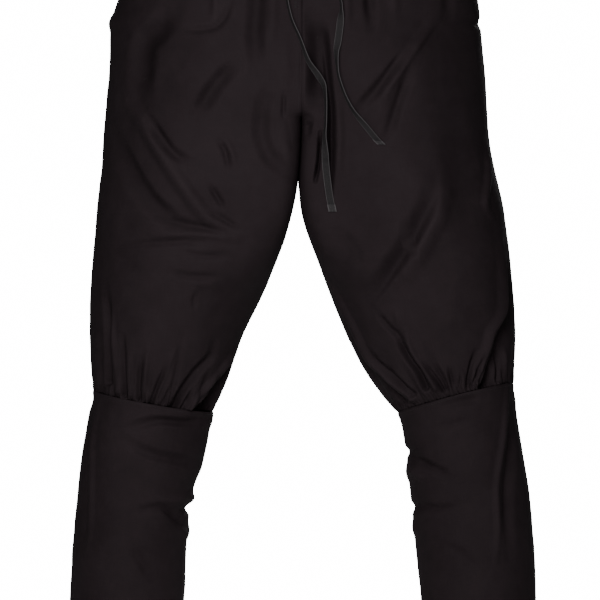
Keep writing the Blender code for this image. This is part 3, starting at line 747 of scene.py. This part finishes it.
def upperPanel(side, face):
    rings = upperRings(side)
    ring = ringsAt(rings, rowDrops(rings))
    pleats = gathers[side, face]
    kneeTurns = [0.0]
    for pleat in pleats:
        kneeTurns.append(kneeTurns[-1] + math.radians(pleat.width))
    dice = random.Random(relief["waistSeed"] + 3 * side + face)
    soft = [Gather(1, dice.uniform(*relief["waistReach"]), dice.uniform(*relief["waistDepth"]))
            for _ in range(relief["waistGathers"])]
    rise, fall = rings[-1].dropIn - ring.dropIn, ring.dropIn - rings[0].dropIn
    seed = 10 * side + 3 * face
    share = columnShares(cut["columns"])
    place = share * len(pleats)
    knee = smoothStep(*cut["kneeBlend"], ring.dropIn)
    turn = panelTurns(ring, side, face, share)
    gathered = gatherPush(soft, turn / lastTurn(ring, face) * len(soft), fall)
    turn = turn * (1 - knee) + eased(range(len(kneeTurns)), kneeTurns, place) * knee
    gathered = gathered + gatherPush(pleats, place, rise)
    wide, high, much = relief["puckerWander"]
    wander = noiseField(turn * wide, rise / high, seed)
    pinched = relief["puckerDepth"] * (1 - smoothStep(*relief["puckerReach"], rise))
    pucker = np.sin(2 * math.pi * turn * relief["kneeRadius"] / relief["puckerSize"] + much * wander)
    gathered += pinched * pucker
    roll = relief["edgeRoll"] * (1 - smoothStep(0, relief["rollReach"], rise))
    calm = smoothStep(0, relief["waistCalm"], fall)
    points, pushes = panelSurface("upper", side, face, ring, turn, seed, gathered, calm, -roll)
    points[0, :, 2] += relief["tuckedIn"] * mm
    return clothSheet(f"{faceNames[face]}_leg_{sideNames[side]}", points, pushes, cut["wall"], face)


def lowerPanel(side, face):
    rings = lowerLeg[side]
    ring = ringsAt(rings, rowDrops(rings))
    seed = 10 * side + 3 * face + 40
    fall, rise = ring.dropIn - rings[0].dropIn, rings[-1].dropIn - ring.dropIn
    hem = relief["hemStep"] * (1 - smoothStep(*relief["hemRise"], rise))
    band = relief["seamBand"] * (1 - smoothStep(*relief["bandEdge"], fall))
    band = band - relief["kneeDip"] * bell(fall / relief["kneeDipHalf"])
    turn = math.pi * columnShares(cut["lowerColumns"]) + 0 * ring.dropIn
    points, pushes = panelSurface("lower", side, face, ring, turn, seed, 0, 1, hem + band)
    return clothSheet(f"{faceNames[face]}_shin_{sideNames[side]}", points, pushes, cut["wall"], face)


print("leg panels")
pieces = {}
for side in (right, left):
    for face in (front, back):
        pieces["upper", side, face] = upperPanel(side, face)
        pieces["lower", side, face] = lowerPanel(side, face)

print("waist casing")
casing = {
    "columns": 260,
    "rows": 20,
    "proud": 1.2,
    "lean": 4.0,
    "ruffle": 1.5,
    "ruffles": 46,
    "ruffleWander": (5, 4),        # size round the waist, and how much
    "ruffleChange": (9, 0.7, 0.6),  # size round the waist, least depth, and the rest
    "crown": 1.1,
    "stitchDip": 1.4,
    "stitchAt": (0.2, 0.05),       # place and half width, as shares of the height
    "sideCalm": 0.04,
    "exitX": (-25, 26),
    "exitReach": 6.0,
    "exitHeight": 6.5,
}


def casingHalf(face):
    ring = body[0]
    depth = ring.front if face == front else ring.back
    share = np.arange(casing["rows"] + 1)[:, None] / casing["rows"]
    turn = math.pi * np.arange(casing["columns"] + 1)[None, :] / casing["columns"]
    side = np.where(turn < math.pi / 2, right, left)
    half = np.where(turn < math.pi / 2, ring.right, ring.left)
    size, much = casing["ruffleWander"]
    wave = np.sin(turn * casing["ruffles"] + much * noiseField(turn * size, 0 * turn, face))
    size, least, rest = casing["ruffleChange"]
    deepen = least + rest * noiseField(turn * size, 0 * turn, face + 4)
    push = casing["ruffle"] * wave * deepen * np.sin(math.pi * share) ** 0.7
    push = push * smoothStep(0, casing["sideCalm"], np.minimum(turn, math.pi - turn))
    at, reach = casing["stitchAt"]
    push = push + casing["crown"] * np.sin(math.pi * share)
    push = push - casing["stitchDip"] * bell((share - at) / reach)
    swell = casing["proud"] - casing["lean"] * share + push
    x = side * np.abs(np.cos(turn)) ** (2 / ring.power) * (half + swell)
    y = face * np.clip(np.sin(turn), 0.0, None) ** (2 / ring.power) * (depth + swell)
    z = -ring.dropIn * (1 - share) + 0 * x
    if face == front:
        for exitX in casing["exitX"]:
            arch = bell((x - exitX) / casing["exitReach"])
            z = z + casing["exitHeight"] * arch * (1 - share) ** 3
    points = np.stack([x, y, z], axis=-1) * mm
    return clothSheet(f"casing_{faceNames[face]}", points, push, cut["casingWall"], face)


for face in (front, back):
    pieces["casing", face] = casingHalf(face)


def surfaceOf(found):
    points, patches = [], []
    for piece in found:
        start = len(points)
        points += [vertex.co.copy() for vertex in piece.data.vertices]
        patches += [[start + corner for corner in patch.vertices] for patch in piece.data.polygons]
    return BVHTree.FromPolygons(points, patches)


surface = surfaceOf(pieces.values())

print("drawstring")
tape = {
    "width": 9.0,
    "thickness": 0.9,
    "step": 4.0,
    "lift": 0.7,
    "hangSlope": 0.3,
    "restSlope": 0.6,
    "columns": 6,
    "bevel": 0.25,
    "hemLength": 9.0,
    "hemWidth": 10.0,
    "hemThickness": 2.0,
    "hemRows": 6,
    "hemPast": 0.6,                # past the end of the tape
    "hemProud": 0.35,
}
TapePoint = namedtuple("TapePoint", "drop x turn")
tapeRoutes = {
    right: table(
        TapePoint,
        (28, -25, 0), (46, -25, 0), (78, -23, 20),
        (122, -20.5, 52), (145, -18.8, 70), (169, -13.8, 72),
        (196, -2.5, 68), (223, 7.5, 50), (241, 20, 14),
        (256, 27.5, 58), (276, 29, 72), (296, 28.8, 72),
        (315, 27.5, 62), (338, 28.4, 20), (352, 29.3, 8),
        (388, 33.8, 4), (406, 37.5, 0),
    ),
    left: table(
        TapePoint,
        (28, 26, 0), (46, 26.5, 0), (76, 32, 30),
        (115, 39.5, 64), (140, 45, 74), (158, 48, 70),
        (178, 46.5, 14), (198, 44, 12), (214, 41.8, 52),
        (236, 43.5, 73), (260, 50.5, 72), (282, 61.5, 62),
        (302, 77.5, 16), (319, 92, 4), (324, 97, 0),
    ),
}


def clothFront(x, drop):
    hit = surface.ray_cast(Vector((x, -400, -drop)) * mm, Vector((0, 1, 0)))[0]
    return hit.y / mm if hit else 0.0


def easeBack(depths, slope):
    for index in range(1, len(depths)):
        depths[index] = min(depths[index], depths[index - 1] + slope * tape["step"])


def tapeLine(side):
    route = tapeRoutes[side]
    count = round((route[-1].drop - route[0].drop) / tape["step"])
    places = np.linspace(0, len(route) - 1, count + 1)
    spots = [TapePoint(*values) for values in
             zip(*[eased(range(len(route)), values, places) for values in zip(*route)])]
    reach = tape["width"] / 2
    stands = []
    for spot in spots:
        turn = math.radians(spot.turn)
        drop = max(spot.drop, body[0].dropIn + 1)
        nearest = min(clothFront(spot.x + shift * math.cos(turn), drop) + shift * math.sin(turn)
                      for shift in (-reach, -reach / 2, 0, reach / 2, reach))
        stands.append(nearest - tape["lift"] - tape["thickness"] / 2)
    easeBack(stands, tape["hangSlope"])
    stands.reverse()
    easeBack(stands, tape["restSlope"])
    stands.reverse()
    inside = -body[0].front - casing["proud"] + cut["casingWall"] / 2
    lines = []
    for spot, stand in zip(spots, stands):
        out = float(smoothStep(route[0].drop, body[0].dropIn, spot.drop))
        turn = math.radians(spot.turn)
        across = Vector((math.cos(turn), -math.sin(turn), 0))
        lines.append((Vector((spot.x, inside + (stand - inside) * out, -spot.drop)), across))
    return lines


def tapeStrip(name, lines, width, thickness):
    shares = np.arange(tape["columns"] + 1) / tape["columns"] - 0.5
    points = np.array([[(middle + across * width * share) * mm for share in shares]
                       for middle, across in lines])
    piece = clothSheet(name, points, np.zeros(points.shape[:2]), thickness, front, 0)
    soften = piece.modifiers.new("soften", "BEVEL")
    soften.width = tape["bevel"] * mm
    soften.segments = 2
    soften.angle_limit = math.radians(50)
    return piece


tapes, tapeHems, tapePaths = {}, {}, {}
for side in (right, left):
    lines = tapeLine(side)
    tapes[side] = tapeStrip(f"tape_{sideNames[side]}", lines, tape["width"], tape["thickness"])
    tapePaths[side] = [middle * mm for middle, _ in lines]
    last, before = lines[-1], lines[-2]
    along = (last[0] - before[0]).normalized()
    out = along.cross(last[1]).normalized()
    if out.y > 0:
        out.negate()
    hemLines = []
    for part in range(tape["hemRows"] + 1):
        middle = last[0] - along * tape["hemLength"] * (1 - part / tape["hemRows"])
        hemLines.append((middle + along * tape["hemPast"] + out * tape["hemProud"], last[1]))
    name = f"tape_end_{sideNames[side]}"
    tapeHems[side] = tapeStrip(name, hemLines, tape["hemWidth"], tape["hemThickness"])

print("stitching")
thread = {
    "pitch": 3.2,
    "length": 2.5,
    "width": 0.55,
    "height": 0.35,
    "gatherSeam": 3.2,            # below the gathered seam
    "hemRise": 18,
    "centre": -4.5,
    "centreDrops": (40, 284, 4),   # from, to and step
    "barDrops": (150, 158),
    "barX": -8.0,
    "barLength": 5.0,
    "barPitch": 1.3,
    "sideSeam": 8.5,
    "sideStep": 4,                 # rows of the cloth between points of the line
    "inseamFrom": 60,              # below the crotch
}


def addStitch(sewing, place, along, out, length):
    along = (along - out * along.dot(out)).normalized()
    beside = out.cross(along)
    turn = Matrix((along, beside, out)).transposed().to_4x4()
    size = Matrix.Diagonal((length / 2 * mm, thread["width"] / 2 * mm, thread["height"] * mm, 1))
    sewing.append(Matrix.Translation(place) @ turn @ size)


def sewAlong(sewing, line):
    # line is a run of points near the cloth, in metres
    behind = 0.0
    for a, b in zip(line, line[1:]):
        size = (b - a).length / mm
        while behind < size:
            place, out = surface.find_nearest(a.lerp(b, behind / size))[:2]
            addStitch(sewing, place, b - a, out, thread["length"])
            behind += thread["pitch"]
        behind -= size


def sewnLine(rings, drops, side, face, turns):
    # points along the cloth, from one drop with many turns or many drops with a turn each
    ring = ringsAt(rings, np.array(drops))

    def onCloth(x, drop, deep, across, seam):
        return np.full(x.shape, 0.5)

    points = ringSurface(ring, side, face, turns, onCloth)[0]
    return [Vector(point) for point in points.reshape(-1, 3)]


def finishSewing(name, sewing):
    # one rounded stitch, repeated and laid in each stitch's place
    single = bpy.data.meshes.new("stitch")
    shape = bmesh.new()
    bmesh.ops.create_uvsphere(shape, u_segments=6, v_segments=4, radius=1)
    bounds = np.array([vertex.co for vertex in shape.verts])
    shape.to_mesh(single)
    shape.clear()
    for _ in sewing:
        shape.from_mesh(single)
    mesh = bpy.data.meshes.new(name)
    shape.to_mesh(mesh)
    shape.free()
    bpy.data.meshes.remove(single)
    moves = np.array([[list(row) for row in matrix] for matrix in sewing])
    places = np.einsum("nij,vj->nvi", moves[:, :3, :3], bounds) + moves[:, None, :3, 3]
    mesh.vertices.foreach_set("co", places.ravel())
    mesh.update()
    mesh.shade_smooth()
    return addObject(name, mesh)


stitches = {}
halfRound = np.linspace(0, math.pi, 61)[None, :]
for side in (right, left):
    sewing = []
    for face in (front, back):
        rings = lowerLeg[side]
        for drop in (rings[0].dropIn + thread["gatherSeam"], rings[-1].dropIn - thread["hemRise"]):
            sewAlong(sewing, sewnLine(rings, [drop], side, face, halfRound))
    for rings in (upperRings(side), lowerLeg[side]):
        drops = rowDrops(rings)[1:-1:thread["sideStep"]]
        beside = np.arcsin(thread["sideSeam"] / ringsAt(rings, drops).front)
        sewAlong(sewing, sewnLine(rings, drops, side, front, beside))
        low = drops >= cut["crotchDrop"] + thread["inseamFrom"]
        sewAlong(sewing, sewnLine(rings, drops[low], side, front, math.pi - beside[low]))
    stitches[side] = finishSewing(f"stitching_{sideNames[side]}", sewing)
sewing = []
sewAlong(sewing, [Vector((thread["centre"], clothFront(thread["centre"], drop), -drop)) * mm
                  for drop in range(*thread["centreDrops"])])
barDrop = thread["barDrops"][0]
while barDrop < thread["barDrops"][1]:
    spot = Vector((thread["barX"], clothFront(thread["barX"], barDrop), -barDrop)) * mm
    place, out = surface.find_nearest(spot)[:2]
    addStitch(sewing, place, Vector((1, 0, 0)), out, thread["barLength"])
    barDrop += thread["barPitch"]
stitches["centre"] = finishSewing("stitching_centre", sewing)

print("materials")
clothLook = {
    "dark": (0.0088, 0.0060, 0.0070, 1),
    "light": (0.0205, 0.0148, 0.0168, 1),
    "thread": 0.62,               # width of a thread, mm
    "roughness": (0.72, 0.86),
    "specular": 0.20,
    "tint": (1.0, 0.82, 0.88, 1),
    "bump": 0.35,
    "bumpHeight": 0.0005,
}


def newMaterial(name):
    material = bpy.data.materials.new(name)
    material.use_nodes = True
    return material, material.node_tree, material.node_tree.nodes["Principled BSDF"]


def speckle(tree, place, scale, detail):
    return shaderNode(tree, "ShaderNodeTexNoise", {}, {"Vector": place, "Scale": scale, "Detail": detail})


def clothMap(tree):
    return shaderNode(tree, "ShaderNodeUVMap", {"uv_map": "cloth"}, {})


def objectPlace(tree):
    return shaderNode(tree, "ShaderNodeTexCoord", {}, {}, "Object")


def mixColours(tree, share, dark, light):
    return shaderNode(tree, "ShaderNodeMix", {"data_type": "RGBA"}, {0: share, 6: dark, 7: light}, 2)


def acrossAndDown(tree, uv):
    across = shaderNode(tree, "ShaderNodeSeparateXYZ", {}, {0: uv})
    return across, Wire(across.socket.node.outputs[1])


def plainWeave(tree, uv, width):
    across, down = acrossAndDown(tree, uv)
    turn = math.pi / (width * mm)
    return (across * turn).sine() * (down * turn).sine()


def bumpOf(tree, strength, distance, height):
    values = {"Strength": strength, "Distance": distance, "Height": height}
    return shaderNode(tree, "ShaderNodeBump", {}, values)


def slubs(tree, uv, scale):
    longer = shaderNode(tree, "ShaderNodeVectorMath", {"operation": "MULTIPLY"}, {0: uv, 1: scale})
    return speckle(tree, longer, 1.0, 2.0)


def clothMaterial():
    material, tree, shader = newMaterial("black_cotton")
    uv = clothMap(tree)
    spot = objectPlace(tree)
    height = shaderNode(tree, "ShaderNodeAttribute", {"attribute_name": "relief"}, {}, "Fac")
    weave = plainWeave(tree, uv, clothLook["thread"])
    warp = slubs(tree, uv, (1500, 50, 1))
    weft = slubs(tree, uv, (50, 1500, 1))
    broad = speckle(tree, spot, 14.0, 3.0)
    patchy = speckle(tree, spot, 70.0, 4.0)
    share = 0.42 + (broad - 0.5) * 0.9 + (patchy - 0.5) * 0.6 + (warp + weft - 1.0) * 0.45
    # Painted shade and painted light: the relief darkens the colour in the creases and hollows and
    # lightens it on the ridges.
    share = (share + height * 0.035 + weave * 0.04).clamped()
    colour = mixColours(tree, share, clothLook["dark"], clothLook["light"])
    colour.into(shader, "Base Color")
    low, high = clothLook["roughness"]
    rough = low + (high - low) * patchy
    rough.into(shader, "Roughness")
    shader.inputs["Specular IOR Level"].default_value = clothLook["specular"]
    shader.inputs["Specular Tint"].default_value = clothLook["tint"]
    surfaceHeight = weave * 0.35 + (warp + weft) * 0.5 + patchy * 0.8
    bumpOf(tree, clothLook["bump"], clothLook["bumpHeight"], surfaceHeight).into(shader, "Normal")
    return material


tapeLook = {
    "dark": (0.0100, 0.0088, 0.0094, 1),
    "light": (0.100, 0.092, 0.096, 1),
    "rib": 0.9,
    "zigzag": 1.4,                 # width of a herringbone row, mm
    "selvedge": 3.4,               # the painted highlight on the woven edges starts this far from the middle, mm
    "selvedgeFade": 0.9,
    "edgeHighlight": 0.6,
    "plain": 0.09,
    "folded": 0.24,
    "mottle": {"black_tape": 0.45, "folded_tape_end": 1.2},
    "specular": 0.18,
    "bump": 0.5,
    "bumpHeight": 0.0004,
}


def tapeMaterial(name, ground):
    material, tree, shader = newMaterial(name)
    uv = clothMap(tree)
    across, down = acrossAndDown(tree, uv)
    turn = 2 * math.pi / (tapeLook["rib"] * mm)
    zigzag = across.maths("PINGPONG", across, tapeLook["zigzag"] * mm)
    rib = ((down + zigzag) * turn).sine()
    aside = across.maths("ABSOLUTE", across, 0.0)
    # Painted highlight: the tape's woven edges are made lighter in colour, as if they caught the light.
    edge = ((aside - tapeLook["selvedge"] * mm) * (1 / (tapeLook["selvedgeFade"] * mm))).clamped()
    fuzz = slubs(tree, uv, (900, 900, 1))
    mottle = tapeLook["mottle"][name]
    share = ground + rib * 0.05 + (fuzz - 0.5) * mottle + edge * tapeLook["edgeHighlight"]
    colour = mixColours(tree, share.clamped(), tapeLook["dark"], tapeLook["light"])
    colour.into(shader, "Base Color")
    (0.6 + fuzz * 0.2).into(shader, "Roughness")
    shader.inputs["Specular IOR Level"].default_value = tapeLook["specular"]
    bumpOf(tree, tapeLook["bump"], tapeLook["bumpHeight"], rib * 0.5 + fuzz).into(shader, "Normal")
    return material


threadLook = {
    "dark": (0.008, 0.006, 0.007, 1),
    "light": (0.024, 0.020, 0.022, 1),
    "specular": 0.3,
}
floorLook = {
    "dark": (0.60, 0.60, 0.59, 1),
    "light": (0.66, 0.66, 0.65, 1),
    "roughness": 0.9,
    "specular": 0.1,
}


def threadMaterial():
    material, tree, shader = newMaterial("black_thread")
    spot = objectPlace(tree)
    fuzz = speckle(tree, spot, 900.0, 2.0)
    colour = mixColours(tree, fuzz, threadLook["dark"], threadLook["light"])
    colour.into(shader, "Base Color")
    (0.5 + fuzz * 0.3).into(shader, "Roughness")
    shader.inputs["Specular IOR Level"].default_value = threadLook["specular"]
    return material


def floorMaterial():
    material, tree, shader = newMaterial("pale_floor")
    spot = objectPlace(tree)
    away = shaderNode(tree, "ShaderNodeVectorMath", {"operation": "LENGTH"}, {0: spot}, "Value")
    grain = speckle(tree, spot, 60.0, 4.0)
    mixColours(tree, grain, floorLook["dark"], floorLook["light"]).into(shader, "Base Color")
    shader.inputs["Roughness"].default_value = floorLook["roughness"]
    shader.inputs["Specular IOR Level"].default_value = floorLook["specular"]
    span = view["floorSize"] - view["floorNear"]
    fade = ((away - view["floorNear"]) * (1 / span)).clamped()
    clear = tree.nodes.new("ShaderNodeBsdfTransparent")
    both = tree.nodes.new("ShaderNodeMixShader")
    fade.into(both, 0)
    tree.links.new(shader.outputs[0], both.inputs[1])
    tree.links.new(clear.outputs[0], both.inputs[2])
    tree.links.new(both.outputs[0], tree.nodes["Material Output"].inputs["Surface"])
    return material


def surroundMaterial():
    material, tree, shader = newMaterial("white_surround")
    glow = tree.nodes.new("ShaderNodeEmission")
    glow.inputs["Strength"].default_value = view["whiteness"]
    material.cycles.emission_sampling = "NONE"
    tree.links.new(glow.outputs[0], tree.nodes["Material Output"].inputs["Surface"])
    return material


def stagePiece(name, shape, material):
    mesh = bpy.data.meshes.new(name)
    shape.to_mesh(mesh)
    shape.free()
    mesh.materials.append(material)
    piece = addObject(name, mesh)
    return piece


disc = bmesh.new()
bmesh.ops.create_circle(disc, cap_ends=True, segments=96, radius=view["floorSize"],
                        matrix=Matrix.Translation((0, 0, -view["floorDrop"])))
stagePiece("floor", disc, floorMaterial())
shell = bmesh.new()
bmesh.ops.create_uvsphere(shell, u_segments=32, v_segments=16, radius=view["surround"])
bmesh.ops.reverse_faces(shell, faces=shell.faces[:])
surround = stagePiece("surround", shell, surroundMaterial())
surround.visible_diffuse = False
surround.visible_glossy = False
surround.visible_shadow = False

cotton, sewingThread = clothMaterial(), threadMaterial()
webbing = tapeMaterial("black_tape", tapeLook["plain"])
foldedWebbing = tapeMaterial("folded_tape_end", tapeLook["folded"])
for piece in pieces.values():
    piece.data.materials.append(cotton)
for side in (right, left):
    tapes[side].data.materials.append(webbing)
    tapeHems[side].data.materials.append(foldedWebbing)
for piece in stitches.values():
    piece.data.materials.append(sewingThread)

print("places in the frame")
for key, piece in pieces.items():
    if key[0] == "upper":
        node = f"{faceNames[key[2]]}_panel_{sideNames[key[1]]}"
    elif key[0] == "lower":
        node = f"lower_{faceNames[key[2]]}_{sideNames[key[1]]}"
    else:
        node = f"waist_casing_{faceNames[key[1]]}"
    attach(piece, "root")
    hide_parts(node)
for side in (right, left):
    node = f"drawstring_end_{sideNames[side]}"
    path = tapePaths[side]
    length = sum((b - a).length for a, b in zip(path, path[1:]))
    for piece in (tapes[side], tapeHems[side]):
        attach(piece, "root")
    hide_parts(node)
for piece in stitches.values():
    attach(piece, "root")
